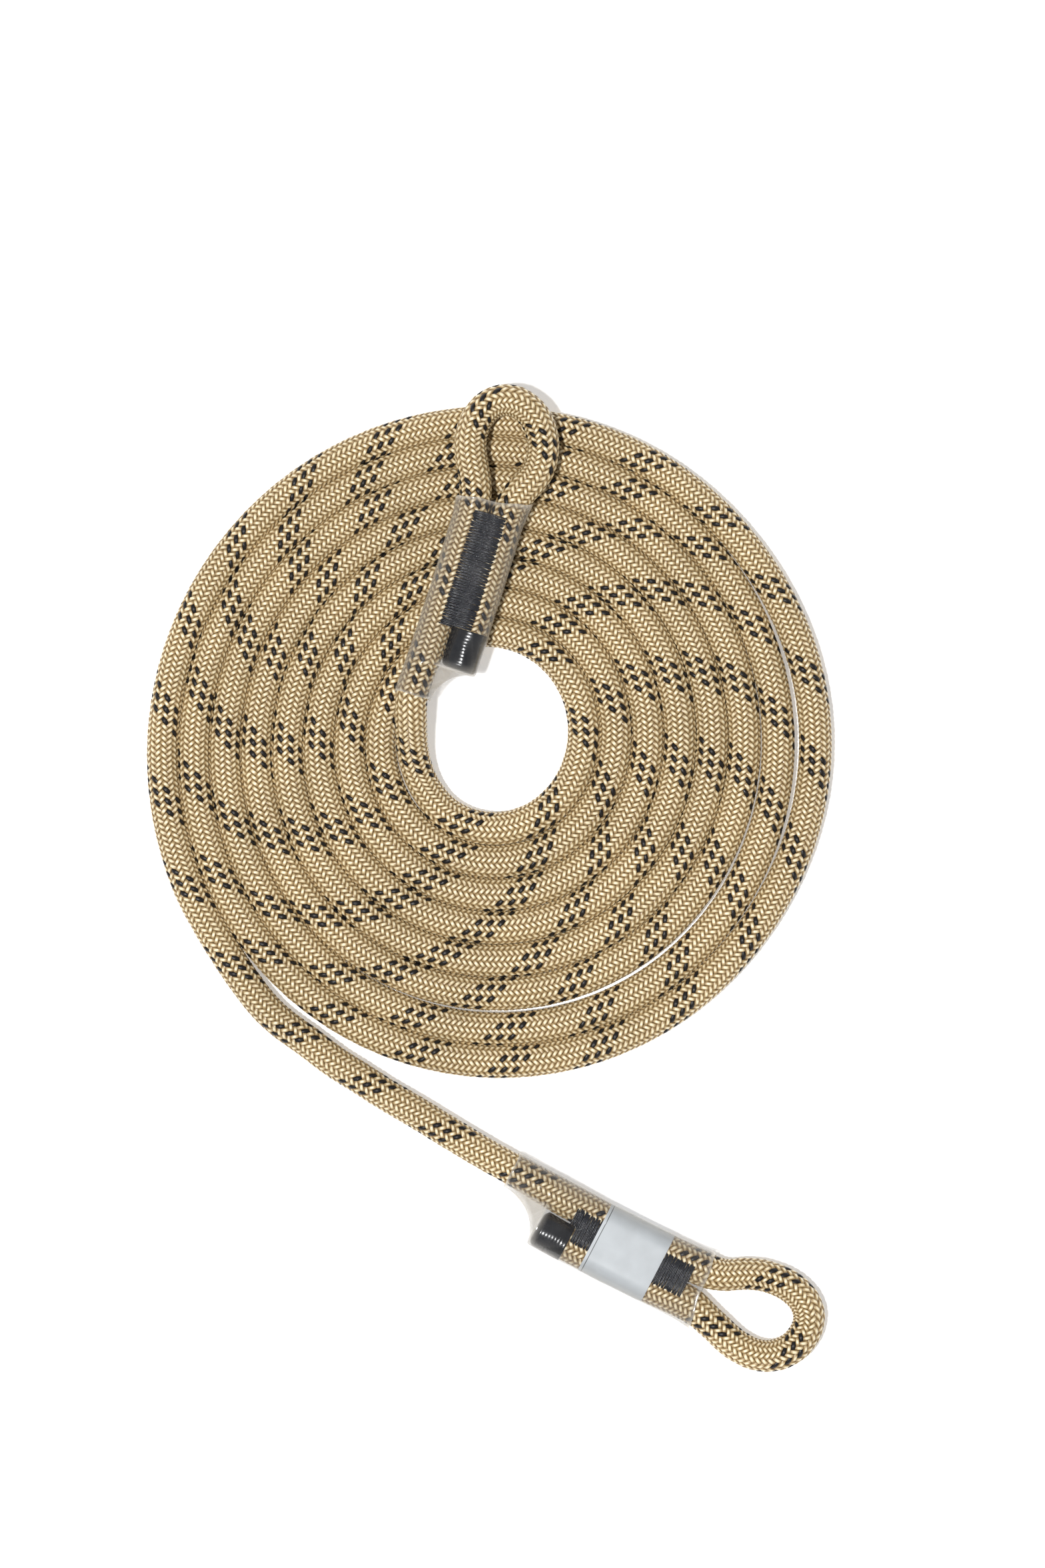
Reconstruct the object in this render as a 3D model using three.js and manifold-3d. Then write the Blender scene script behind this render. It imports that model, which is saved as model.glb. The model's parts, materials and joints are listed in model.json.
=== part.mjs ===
// Rescue rope with a sewn eye on each end, stored as a flat round coil.
// Millimetres, +Z up. The coil lies on z = 0. One eye lies on the coil, the other beside it.
import * as THREE from 'three';
import { mergeVertices } from 'three/addons/utils/BufferGeometryUtils.js';
import Module from 'manifold-3d';

const wasm = await Module();
wasm.setup();

// ---------- Driving dimensions ----------

const ROPE_DIAMETER = 12.7;
const SHEATH_THICKNESS = 1.75;
const FIT = 0.3; // clearance between pieces that touch on the real rope
const FLOOR_LIFT = 0.1; // the rope's bare stretches lie this far above the coil's flat base

const COIL_INNER_RADIUS = 42.6; // inside the coil's wound turns, round the loose inner turn
const COIL_TURNS = 7;
const COIL_BASE_EDGE = 3.2; // width and height of the slope round the coil's flat base
const CROWN_STEPS = 4; // straight facets over each turn's crown

const SLEEVE_WALL = 0.5;
const LABEL_THICKNESS = 0.15;
const LABEL_WIDTH = 27.5;
const LABEL_START = 40.5; // from the sleeve's rope end
const CAP_WALL = 0.6;
const CAP_FLOOR = 1;
const CAP_RIM = 1.2; // chamfer round the cap's closed end
const TIP_REDUCTION = 0.65; // how much slimmer, in radius, the fused rope tip is
const EYE_ROOT = 2; // straight start of the eye at each leg
const STITCH_ROOT = 1.5; // how near the stitching reaches to the plane through both legs

const INNER_SWING = 15; // degrees that the inner eye end swings to either side
const OUTER_SWING = 25; // degrees, the larger of the outer eye end's two swings

// Each eye end lies along a straight axis, from its sleeve's rope end towards its eye.
// Lengths are along that axis. The return leg lies to the right of the standing part.
const INNER_END = {
  name: 'inner',
  heading: 73,
  sleeveLength: 80,
  capStart: 14.3,
  capLength: 15.7,
  stitchLength: 45.5,
  // eye centreline between the two legs: [along, across, lift]
  eye: [[87.5, -2.6, -0.2], [94, -5.8, -0.5], [102.3, -8.2, -0.8], [111, -7.2, -0.9], [117.6, -2.4, -0.9],
    [119.8, 4.8, -0.9], [116.8, 13, -0.9], [109.2, 18.8, -0.8], [100.5, 20.6, -0.6], [93.5, 19.4, -0.4],
    [87.6, 16.2, -0.2]],
};
const OUTER_END = {
  name: 'outer',
  heading: -27.5,
  sleeveLength: 86,
  capStart: 19.8,
  capLength: 12,
  stitchLength: 48.5,
  eye: [[92, -1.6, -0.2], [97, -4.8, -0.4], [103.4, -7.8, -0.6], [111, -9.3, -0.9], [118, -9, -1],
    [124, -6.8, -1], [128, -2.8, -1], [129.6, 2.8, -1], [128.6, 9.6, -1], [124.5, 16, -1],
    [117.9, 19.8, -1], [108.3, 20.4, -0.8], [98, 17.4, -0.4], [92.5, 14.9, -0.2]],
};

// The loose inner turn runs round inside the coil, drawing in from DEGREES[0] to DEGREES[1].
const INNER_TURN_DEGREES = [360, 234];
const INNER_TURN_DRAW = 4.1;
const INNER_TURN_STEPS = 8;
// Where the rope climbs from the inner turn onto the coil: [degrees round the coil, inset from the
// inner turn's first radius, share of the climb]. The last point is the inner sleeve's rope end.
const CLIMB = [[219, 4.9, 0.05], [203, 5.65, 0.2], [188, 5.95, 0.43], [174.3, 5.6, 0.68], [164.4, 4.5, 0.86],
  [156.6, 3, 0.96], [150.5, 1.5, 1]];
const CLIMB_PIN = 3; // the climb's point that the inner end swings about
// The tail along and away from the coil: [degrees round the coil, stand-off from it, share of the
// lift to the outer sleeve's axis]. The last point is the outer sleeve's rope end.
const TAIL = [[231, 0, 0], [236, 0, 0], [240, 0, 0], [244, 0, 0], [249, 1.55, 0], [252.5, 3.5, 0],
  [256.1, 6, 0.1], [260.1, 9.6, 0.3], [264.7, 14.9, 0.65], [268.6, 20.5, 0.9], [272.9, 27.5, 1]];
const TAIL_PIN = 7;

// ---------- Derived sizes ----------

const ROPE_RADIUS = ROPE_DIAMETER / 2;
const CORE_RADIUS = ROPE_RADIUS - SHEATH_THICKNESS - FIT;
const TIP_RADIUS = ROPE_RADIUS - TIP_REDUCTION;
const CAP_BORE = TIP_RADIUS + FIT;
const CAP_RADIUS = CAP_BORE + CAP_WALL;
const LEG_SPACING = ROPE_RADIUS + FIT + CAP_RADIUS;
const LABEL_BORE = ROPE_RADIUS + FIT;
const LABEL_RADIUS = LABEL_BORE + LABEL_THICKNESS;
const SLEEVE_BORE = Math.max(LABEL_RADIUS, CAP_RADIUS) + FIT;
const SLEEVE_RADIUS = SLEEVE_BORE + SLEEVE_WALL;

const COIL_OUTER_RADIUS = COIL_INNER_RADIUS + COIL_TURNS * ROPE_DIAMETER;
const INNER_TURN_RADIUS = COIL_INNER_RADIUS - FIT - ROPE_RADIUS;
const TAIL_RADIUS = COIL_OUTER_RADIUS + FIT + ROPE_RADIUS;
const ROPE_LEVEL = ROPE_RADIUS + FLOOR_LIFT; // height of the bare rope's axis on the floor
const INNER_LEVEL = ROPE_DIAMETER + FIT + SLEEVE_RADIUS; // height of the inner end's legs
const OUTER_LEVEL = SLEEVE_RADIUS; // height of the outer end's legs

const radians = THREE.MathUtils.degToRad;
// Half the gap that lets two round rope faces swing by an angle about an upright pin between them.
const swingGap = (degrees) => ROPE_RADIUS * Math.tan(radians(degrees) / 2) + FIT / 2;

// ---------- Materials ----------

const paint = (color, roughness, options = {}) =>
  new THREE.MeshStandardMaterial({ color, roughness, metalness: 0, ...options });
const MATERIALS = {
  sheath: paint(0xc9ad7f, 0.55),
  core: paint(0xe9e6dd, 0.7),
  tip: paint(0x8f7d5c, 0.6),
  cap: paint(0x0c0c0e, 0.25),
  stitching: paint(0x23252d, 0.5),
  sleeve: paint(0xdfe3e2, 0.12, { transparent: true, opacity: 0.3 }),
  label: paint(0xd2dade, 0.4),
};

const SIDES = 12;
const CORE_SIDES = 8;
const group = new THREE.Group();

function addNode(parent, name, geometry, material) {
  const mesh = new THREE.Mesh(geometry, MATERIALS[material]);
  mesh.name = name;
  parent.add(mesh);
  return mesh;
}

// ---------- Rope stretches: a sheath tube with its core inside ----------

function circle(radius, sides = SIDES) {
  const points = [];
  for (let i = 0; i < sides; i++) {
    const angle = (i / sides) * 2 * Math.PI;
    points.push(new THREE.Vector2(radius * Math.cos(angle), radius * Math.sin(angle)));
  }
  return points;
}

function along(shape, curve, steps) {
  return new THREE.ExtrudeGeometry(shape, { extrudePath: curve, steps, bevelEnabled: false });
}

function addRope(parent, name, curve, steps) {
  const sheath = new THREE.Shape(circle(ROPE_RADIUS));
  sheath.holes.push(new THREE.Path(circle(ROPE_RADIUS - SHEATH_THICKNESS)));
  addNode(parent, `${name}_sheath`, along(sheath, curve, steps), 'sheath');
  const core = new THREE.Shape(circle(CORE_RADIUS, CORE_SIDES));
  addNode(parent, `${name}_core`, along(core, curve, steps), 'core');
}

// ---------- Coil ----------

// Section of the coil: a flat base with rounded edges, and one round crown for each turn.
function coilGeometry() {
  const points = [];
  points.push(new THREE.Vector2(COIL_INNER_RADIUS + COIL_BASE_EDGE, 0));
  points.push(new THREE.Vector2(COIL_OUTER_RADIUS - COIL_BASE_EDGE, 0));
  points.push(new THREE.Vector2(COIL_OUTER_RADIUS, COIL_BASE_EDGE));
  for (let turn = COIL_TURNS - 1; turn >= 0; turn--) {
    const middle = COIL_INNER_RADIUS + (turn + 0.5) * ROPE_DIAMETER;
    const first = turn === COIL_TURNS - 1 ? 0 : 1;
    for (let i = first; i <= CROWN_STEPS; i++) {
      const angle = (i / CROWN_STEPS) * Math.PI;
      const x = middle + ROPE_RADIUS * Math.cos(angle);
      points.push(new THREE.Vector2(x, ROPE_RADIUS + ROPE_RADIUS * Math.sin(angle)));
    }
  }
  points.push(new THREE.Vector2(COIL_INNER_RADIUS, COIL_BASE_EDGE));
  points.push(points[0].clone());
  const geometry = new THREE.LatheGeometry(points, 60);
  geometry.rotateX(Math.PI / 2);
  return geometry;
}

const onCircle = (radius, degrees, z) =>
  new THREE.Vector3(radius * Math.cos(radians(degrees)), radius * Math.sin(radians(degrees)), z);

// ---------- Eye ends ----------

// A point of an eye end's frame: x along its axis, the return leg on the right, which is -y.
const inEnd = (point, lift = 0) => new THREE.Vector3(point[0], -point[1], lift);

const smooth = (points) => new THREE.CatmullRomCurve3(points, false, 'centripetal');

// A straight stretch of the return leg.
const straight = (from, to) => new THREE.LineCurve3(inEnd([from, LEG_SPACING]), inEnd([to, LEG_SPACING]));

// Outline round the two legs side by side: half circles joined by straight sides.
function legsOutline(radius) {
  const points = [];
  const arcSteps = 12;
  for (const [centre, start] of [[0, -90], [-LEG_SPACING, 90]]) {
    for (let i = 0; i <= arcSteps; i++) {
      const angle = radians(start + (i / arcSteps) * 180);
      points.push(new THREE.Vector2(centre + radius * Math.cos(angle), radius * Math.sin(angle)));
    }
  }
  return points;
}

// Extrudes a section, drawn with x across and y up, along an eye end's axis.
function alongEnd(shape, from, to) {
  const geometry = new THREE.ExtrudeGeometry(shape, {
    depth: to - from, steps: 1, bevelEnabled: false,
  });
  // section x -> frame y, section y -> frame z, depth -> frame x
  const turn = new THREE.Matrix4().makeBasis(
    new THREE.Vector3(0, 1, 0), new THREE.Vector3(0, 0, 1), new THREE.Vector3(1, 0, 0));
  geometry.applyMatrix4(turn);
  geometry.translate(from, 0, 0);
  return geometry;
}

function tubeShape(outer, inner) {
  const shape = new THREE.Shape(outer);
  shape.holes.push(new THREE.Path(inner));
  return shape;
}

function toSolid(geometry) {
  const bare = geometry.clone();
  bare.deleteAttribute('normal');
  bare.deleteAttribute('uv');
  const merged = mergeVertices(bare, 1e-4);
  const mesh = new wasm.Mesh({
    numProp: 3,
    vertProperties: new Float32Array(merged.attributes.position.array),
    triVerts: new Uint32Array(merged.index.array),
  });
  return new wasm.Manifold(mesh);
}

function fromSolid(solid) {
  const mesh = solid.getMesh();
  const geometry = new THREE.BufferGeometry();
  geometry.setAttribute('position', new THREE.BufferAttribute(mesh.vertProperties, 3));
  geometry.setIndex(new THREE.BufferAttribute(mesh.triVerts, 1));
  geometry.computeVertexNormals();
  return geometry;
}

// Clear sleeve: wide round both legs and the cap, narrow round the standing part alone.
function sleeveGeometry(end) {
  const wideStart = end.capStart - FIT - SLEEVE_WALL;
  const joinEnd = end.capStart - FIT;
  const wide = alongEnd(tubeShape(legsOutline(SLEEVE_RADIUS), legsOutline(SLEEVE_BORE)),
    wideStart, end.sleeveLength);
  const narrow = alongEnd(tubeShape(circle(SLEEVE_RADIUS, 24), circle(SLEEVE_BORE, 24)), 0, joinEnd);
  return fromSolid(toSolid(wide).add(toSolid(narrow)));
}

// Stitching in the valley between the legs, on the upper (side 1) or lower (side -1) face.
function stitchGeometry(end, side) {
  const keepOff = ROPE_RADIUS + FIT;
  const shape = new THREE.Shape();
  const points = [];
  const steps = 6;
  for (let i = 0; i <= steps; i++) {
    const z = STITCH_ROOT + (ROPE_RADIUS - STITCH_ROOT) * (i / steps);
    points.push(new THREE.Vector2(-Math.sqrt(keepOff ** 2 - z ** 2), z * side));
  }
  const mirrored = points.map((p) => new THREE.Vector2(-LEG_SPACING - p.x, p.y)).reverse();
  shape.setFromPoints([...points, ...mirrored]);
  const start = end.capStart + end.capLength;
  return alongEnd(shape, start, start + end.stitchLength);
}

// End cap: a cup over the rope tip, open towards the eye.
function capGeometry(end) {
  const profile = [[0, 0], [CAP_RADIUS - CAP_RIM, 0], [CAP_RADIUS, CAP_RIM], [CAP_RADIUS, end.capLength],
    [CAP_BORE, end.capLength], [CAP_BORE, CAP_FLOOR], [0, CAP_FLOOR]];
  const geometry = new THREE.LatheGeometry(profile.map((p) => new THREE.Vector2(...p)), 24);
  geometry.rotateZ(-Math.PI / 2);
  geometry.translate(end.capStart, -LEG_SPACING, 0);
  return geometry;
}

// Everything from an eye end's pin to its eye. The lead runs from the pin to the sleeve.
function addEnd(end, lead) {
  const frame = new THREE.Group();
  frame.position.copy(lead.at(-1));
  frame.rotation.z = radians(end.heading);
  frame.updateMatrixWorld();
  group.add(frame);

  const standing = lead.map((p) => frame.worldToLocal(p.clone()));
  for (let i = 1; i <= 3; i++) standing.push(inEnd([(i / 3) * end.sleeveLength, 0]));
  addRope(frame, `${end.name}_standing_part`, smooth(standing), 20);

  const eyeStart = end.sleeveLength + FIT;
  const eye = [0, EYE_ROOT].map((root) => inEnd([eyeStart + root, 0]));
  eye.push(...end.eye.map((p) => inEnd(p, p[2])));
  eye.push(...[EYE_ROOT, 0].map((root) => inEnd([eyeStart + root, LEG_SPACING])));
  addRope(frame, `${end.name}_eye`, smooth(eye), 26);

  const capMouth = end.capStart + end.capLength;
  addRope(frame, `${end.name}_return_leg`, straight(capMouth + FIT, end.sleeveLength), 1);
  const tipPath = straight(end.capStart + CAP_FLOOR + FIT, capMouth);
  addNode(frame, `${end.name}_rope_tip`, along(new THREE.Shape(circle(TIP_RADIUS)), tipPath, 1), 'tip');
  addNode(frame, `${end.name}_end_cap`, capGeometry(end), 'cap');
  addNode(frame, `${end.name}_stitching_upper`, stitchGeometry(end, 1), 'stitching');
  addNode(frame, `${end.name}_stitching_lower`, stitchGeometry(end, -1), 'stitching');
  addNode(frame, `${end.name}_sleeve`, sleeveGeometry(end), 'sleeve');
  return frame;
}

// ---------- Routes ----------

// Splits a route at its pin, leaving the swing's gap: [stretch up to the pin, stretch from it].
function splitAtPin(points, pin, degrees) {
  const direction = points[pin + 1].clone().sub(points[pin - 1]).normalize();
  const gap = swingGap(degrees);
  const before = points[pin].clone().addScaledVector(direction, -gap);
  const after = points[pin].clone().addScaledVector(direction, gap);
  return [[...points.slice(0, pin), before], [after, ...points.slice(pin + 1)]];
}

function innerTurnPoints() {
  const [from, to] = INNER_TURN_DEGREES;
  const points = [];
  for (let i = 0; i <= INNER_TURN_STEPS; i++) {
    const share = i / INNER_TURN_STEPS;
    const radius = INNER_TURN_RADIUS - INNER_TURN_DRAW * share;
    points.push(onCircle(radius, from + (to - from) * share, ROPE_LEVEL));
  }
  return points;
}

const climb = CLIMB.map(([degrees, inset, share]) =>
  onCircle(INNER_TURN_RADIUS - inset, degrees, ROPE_LEVEL + share * (INNER_LEVEL - ROPE_LEVEL)));
const tail = TAIL.map(([degrees, standOff, share]) =>
  onCircle(TAIL_RADIUS + standOff, degrees, ROPE_LEVEL + share * (OUTER_LEVEL - ROPE_LEVEL)));

// ---------- Build ----------

addNode(group, 'rope_coil', coilGeometry(), 'sheath');

const [climbStart, innerLead] = splitAtPin(climb, CLIMB_PIN, INNER_SWING);
addRope(group, 'inner_turn', smooth([...innerTurnPoints(), ...climbStart]), 16);
addEnd(INNER_END, innerLead);

const [tailStart, outerLead] = splitAtPin(tail, TAIL_PIN, OUTER_SWING);
addRope(group, 'tail', smooth(tailStart), 10);
const outerFrame = addEnd(OUTER_END, outerLead);
const labelBand = tubeShape(legsOutline(LABEL_RADIUS), legsOutline(LABEL_BORE));
addNode(outerFrame, 'outer_label', alongEnd(labelBand, LABEL_START, LABEL_START + LABEL_WIDTH), 'label');

// The origin is under the middle of the whole rope.
const box = new THREE.Box3().setFromObject(group, true);
const middle = box.getCenter(new THREE.Vector3());
group.position.set(-middle.x, -middle.y, 0);

export default group;
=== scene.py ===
"""Rescue rope in a flat coil with a sewn eye on each end: its braid, caps, stitching and film."""
import json
import math

import bpy
import numpy as np
from bpy.props import FloatProperty, FloatVectorProperty, IntProperty, PointerProperty
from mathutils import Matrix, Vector

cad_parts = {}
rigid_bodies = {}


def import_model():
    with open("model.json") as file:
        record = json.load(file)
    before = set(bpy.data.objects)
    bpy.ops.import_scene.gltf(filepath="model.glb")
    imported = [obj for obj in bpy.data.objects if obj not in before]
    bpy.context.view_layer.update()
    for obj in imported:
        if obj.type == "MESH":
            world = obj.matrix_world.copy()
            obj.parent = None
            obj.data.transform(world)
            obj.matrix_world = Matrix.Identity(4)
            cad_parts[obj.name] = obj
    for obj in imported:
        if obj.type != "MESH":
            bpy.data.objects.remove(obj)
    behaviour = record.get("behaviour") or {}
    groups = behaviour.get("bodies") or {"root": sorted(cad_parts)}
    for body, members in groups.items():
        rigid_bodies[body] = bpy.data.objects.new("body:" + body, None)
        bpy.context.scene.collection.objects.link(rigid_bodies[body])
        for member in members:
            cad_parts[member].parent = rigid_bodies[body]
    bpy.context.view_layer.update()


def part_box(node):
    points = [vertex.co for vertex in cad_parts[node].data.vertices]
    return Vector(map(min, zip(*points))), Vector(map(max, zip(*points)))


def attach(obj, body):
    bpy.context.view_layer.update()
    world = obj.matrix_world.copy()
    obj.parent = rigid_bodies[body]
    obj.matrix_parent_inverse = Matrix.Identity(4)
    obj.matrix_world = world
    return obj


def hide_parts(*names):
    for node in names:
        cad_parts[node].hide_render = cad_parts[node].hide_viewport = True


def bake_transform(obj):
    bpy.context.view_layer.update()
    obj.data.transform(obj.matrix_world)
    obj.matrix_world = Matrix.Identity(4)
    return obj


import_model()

bl_info = {
    "name": "Rescue Rope Coil",
    "version": (1, 0, 0),
    "blender": (4, 5, 0),
    "location": "3D View > Sidebar > Rope",
    "description": "Builds a braided rescue rope, coiled flat, with a sewn eye on each end",
    "category": "Object",
}

MM = 0.001
FULL_TURN = 2 * math.pi

# ---------- Places on the rope, in millimetres about the coil's middle ----------

COIL_LOW, COIL_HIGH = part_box("rope_coil")
COIL_MIDDLE = np.array([(COIL_LOW.x + COIL_HIGH.x) / 2, (COIL_LOW.y + COIL_HIGH.y) / 2, 0]) / MM

FLOOR_LEVEL = 6.45  # height of the rope's axis where it lies on the floor

# Each end runs along an axis from its sleeve's rope end, where the return leg lies to the right.
# Its bow is how far that axis strays to the right, and in what length. Swell widens what is round
# the legs, and pressed the legs themselves. A point of its eye is [along, to the right, lift].
INNER_END = {
    "name": "inner", "body": "inner_end", "heading": 73.0, "start": (34.45, 150.5), "level": 20.6,
    "spacing": 13.7, "swell": 1.0, "pressed": 1.03, "sleeve": 80.0, "cap": (14.3, 30.0),
    "stitching": (29.6, 75.8), "sewn": (0.9, 14.0), "bow": (1.4, 125),
    "eye": [(87.5, -2.6, -0.2), (94, -5.8, -0.5), (102.3, -8.2, -0.8), (111, -7.2, -0.9),
            (117.6, -2.4, -0.9), (119.8, 4.8, -0.9), (116.8, 13, -0.9), (109.2, 18.8, -0.8),
            (100.5, 20.6, -0.6), (93.5, 19.4, -0.4), (87.6, 16.2, -0.2)],
}
OUTER_END = {
    "name": "outer", "body": "outer_end", "heading": -27.5, "start": (165.65, 272.9), "level": 7.6,
    "spacing": 14.7, "swell": 1.06, "pressed": 1.1, "sleeve": 86.0, "cap": (18.9, 32.2),
    "stitching": (29.8, 80.3), "sewn": (0.1, 13.8), "bow": (1.1, 86),
    "eye": [(92, -1.6, -0.2), (97, -4.8, -0.4), (103.4, -7.8, -0.6), (111, -9.3, -0.9),
            (118, -9, -1), (124, -6.8, -1), (128, -2.8, -1), (129.6, 2.8, -1),
            (128.6, 9.6, -1), (124.5, 16, -1), (117.9, 19.8, -1), (108.3, 20.4, -0.8),
            (98, 17.8, -0.4), (92.5, 16.3, -0.2)],
}
LABEL_BAND = (40.4, 67.9)

# From the inner sleeve down to the innermost turn: [degrees, distance from the middle, height].
CLIMB = [(156.6, 32.95, 20.03), (164.4, 31.45, 18.6), (174.3, 30.35, 16.07), (188, 30.0, 12.53),
         (203, 30.3, 9.28), (219, 31.2, 7.1)]
SPIRAL_DEGREES = (236, 3090, 9)
SPIRAL_START = 31.1  # distance of the rope's axis from the middle, at 180 degrees
SPIRAL_PITCH = 12.18
PITCH_DRIFT = (0.2, -0.56)  # how much wider the turns lie to the right, and to the back
OFF_MIDDLE = (0.0, 0.95)  # how far the whole spiral lies to the right, and to the back
OVAL = (-0.98, 0.11)  # how far it is drawn out, straight and at 45 degrees
# Where a turn strays from the even spiral: [middle, reach to either side, millimetres outwards].
LOOSE_PLACES = [(2470, 110, 1.1), (2650, 60, -0.3), (2850, 110, 1.3), (2882, 45, 1.5), (2990, 60, -0.6)]
# From the outermost turn to the outer sleeve: [x, y, height].
TAIL = [(-86.6, -103.3, 6.45), (-68.1, -118.0, 6.45), (-60.4, -123.9, 6.45), (-50.1, -130.4, 6.45),
        (-39.8, -137.0, 6.55), (-29.6, -142.9, 6.8), (-19.2, -149.3, 7.1), (-9.0, -155.5, 7.4),
        (0.0, -160.8, 7.58)]
# How far the whole braid is turned about the rope's axis: [millimetres along, degrees].
TWIST = [(0, -120), (400, -250), (1500, -270), (2600, -215), (3900, -215), (4750, -400)]
CUT_DEGREES = 203  # where the rope's two modelled lengths meet, under the coil's inner end

VIEW_MIDDLE = (12.593, -17.09)  # the camera looks straight down on this place


def spiral_pitch(angle):
    """Distance between neighbouring turns, in the direction of an angle in radians."""
    return SPIRAL_PITCH + PITCH_DRIFT[0] * np.cos(angle) + PITCH_DRIFT[1] * np.sin(angle)


def spiral_radius(degrees):
    """Distance of the wound rope's axis from the coil's middle."""
    degrees = np.asarray(degrees, float)
    angle = np.radians(degrees)
    radius = SPIRAL_START + (degrees - 180) / 360 * spiral_pitch(angle)
    radius = radius + OFF_MIDDLE[0] * np.cos(angle) + OFF_MIDDLE[1] * np.sin(angle)
    radius = radius + OVAL[0] * np.cos(2 * angle) + OVAL[1] * np.sin(2 * angle)
    for middle, reach, outwards in LOOSE_PLACES:
        share = np.clip(np.abs(degrees - middle) / reach, 0, 1)
        radius = radius + outwards * (1 + np.cos(math.pi * share)) / 2
    return radius


def spiral_width(degrees):
    """How far the turns press the rope narrower, as a share of its width."""
    return np.minimum(1.04, spiral_pitch(np.radians(degrees)) / 12.0)


def from_polar(radius, degrees, height):
    angle = math.radians(degrees)
    return (radius * math.cos(angle), radius * math.sin(angle), height)


def end_points(end, points):
    """Points [along, to the right, lift] of an eye end, in millimetres about the coil's middle."""
    p = np.atleast_2d(np.array(points, float))
    heading = math.radians(end["heading"])
    start = from_polar(*end["start"], end["level"])
    stray, span = end["bow"]
    right = p[:, 1] + stray * np.sin(math.pi * np.clip(p[:, 0] / span, 0, 1))
    x = start[0] + p[:, 0] * math.cos(heading) + right * math.sin(heading)
    y = start[1] + p[:, 0] * math.sin(heading) - right * math.cos(heading)
    return np.stack([x, y, start[2] + p[:, 2]], axis=1)


def in_row(points):
    """Millimetres about the coil's middle to metres in the row's frame."""
    return (np.asarray(points) + COIL_MIDDLE) * MM


# ---------- Smooth lines ----------

def curve_through(points, per_span=12):
    """A centripetal curve through points, of any number of columns."""
    p = np.array(points, float)
    p = np.vstack([2 * p[0] - p[1], p, 2 * p[-1] - p[-2]])
    gaps = np.linalg.norm(np.diff(p[:, :3], axis=0), axis=1) ** 0.5
    knots = np.concatenate([[0], np.cumsum(gaps)])
    spans = []
    for i in range(1, len(p) - 2):
        k0, k1, k2, k3 = knots[i - 1:i + 3]
        t = np.linspace(k1, k2, per_span, endpoint=False)[:, None]
        a1 = ((k1 - t) * p[i - 1] + (t - k0) * p[i]) / (k1 - k0)
        a2 = ((k2 - t) * p[i] + (t - k1) * p[i + 1]) / (k2 - k1)
        a3 = ((k3 - t) * p[i + 1] + (t - k2) * p[i + 2]) / (k3 - k2)
        b1 = ((k2 - t) * a1 + (t - k0) * a2) / (k2 - k0)
        b2 = ((k3 - t) * a2 + (t - k1) * a3) / (k3 - k1)
        spans.append(((k2 - t) * b1 + (t - k1) * b2) / (k2 - k1))
    return np.vstack([*spans, p[-2:-1]])


def evenly(line, step):
    """The line with points an even step apart."""
    lengths = np.linalg.norm(np.diff(line[:, :3], axis=0), axis=1)
    along = np.concatenate([[0], np.cumsum(lengths)])
    count = max(2, int(round(along[-1] / step)) + 1)
    at = np.linspace(0, along[-1], count)
    return np.stack([np.interp(at, along, line[:, k]) for k in range(line.shape[1])], axis=1)


def softened(line, reach):
    """The line with each point averaged over its neighbours, and its ends kept."""
    weights = np.hanning(2 * reach + 3)[1:-1]
    weights /= weights.sum()
    start = 2 * line[0] - line[reach:0:-1]
    finish = 2 * line[-1] - line[-2:-reach - 2:-1]
    padded = np.vstack([start, line, finish])
    columns = [np.convolve(padded[:, k], weights, mode="valid") for k in range(line.shape[1])]
    return np.stack(columns, axis=1)


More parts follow.
